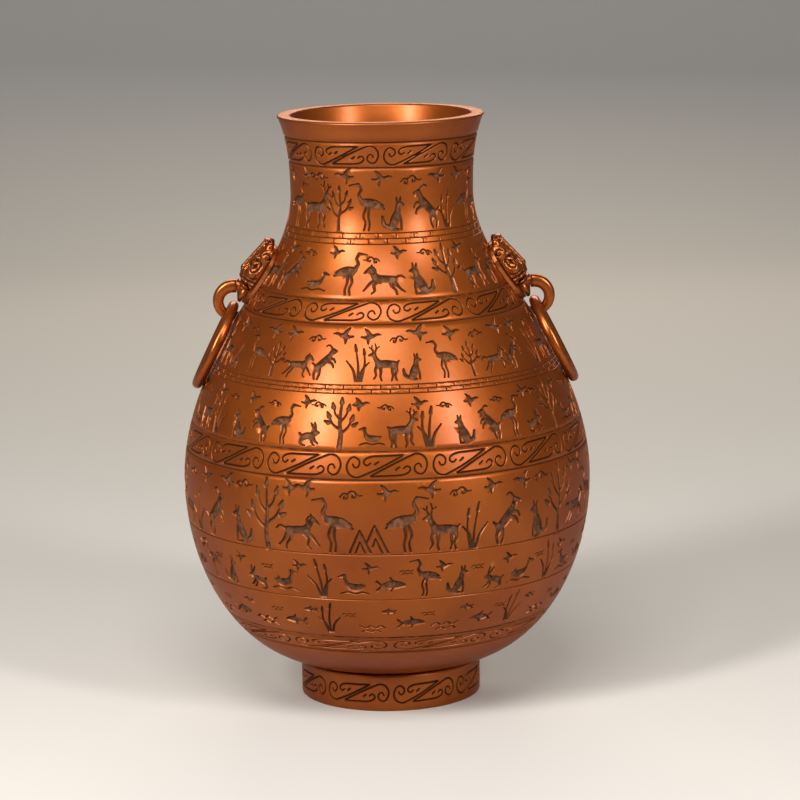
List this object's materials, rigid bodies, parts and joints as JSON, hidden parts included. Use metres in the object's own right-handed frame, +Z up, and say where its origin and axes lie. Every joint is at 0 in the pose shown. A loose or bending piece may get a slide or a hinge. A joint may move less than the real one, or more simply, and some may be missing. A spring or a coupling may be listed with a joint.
{
  "type": "ring-handled vase",
  "caption": "Round-bellied copper vase with a flared neck, a foot ring and beast-mask handles on its shoulders that carry loose swinging rings.",
  "frame": {"origin": "middle of the face that the foot stands on", "axes": "+Z up the vase, handles along +X and -X, the side that the picture shows faces -Y"},
  "size_m": [0.2196, 0.219, 0.316],
  "materials": {
    "engraved_copper": "satin, engraved and toned",
    "cast_copper": "satin casting",
    "polished_copper": "polished"
  },
  "bodies": {
    "vessel": {"vase_body": "engraved_copper", "foot_ring": "engraved_copper", "base_plate": "engraved_copper", "right_saddle_plate": "cast_copper", "right_beast_mask": "cast_copper", "right_ring_hook": "polished_copper", "right_lower_rivet": "cast_copper", "right_upper_rivet": "cast_copper", "left_saddle_plate": "cast_copper", "left_beast_mask": "cast_copper", "left_ring_hook": "polished_copper", "left_lower_rivet": "cast_copper", "left_upper_rivet": "cast_copper"},
    "right_ring": {"right_loose_ring": "polished_copper"},
    "left_ring": {"left_loose_ring": "polished_copper"}
  },
  "joints": [
    {"name": "right_ring_swing", "type": "hinge", "parent": "vessel", "child": "right_ring", "pos_m": [0.08088, 0, 0.21319], "axis": [0, -1, 0], "range_deg": [0, 181]},
    {"name": "left_ring_swing", "type": "hinge", "parent": "vessel", "child": "left_ring", "pos_m": [-0.08088, 0, 0.21319], "axis": [0, 1, 0], "range_deg": [0, 181]}
  ]
}
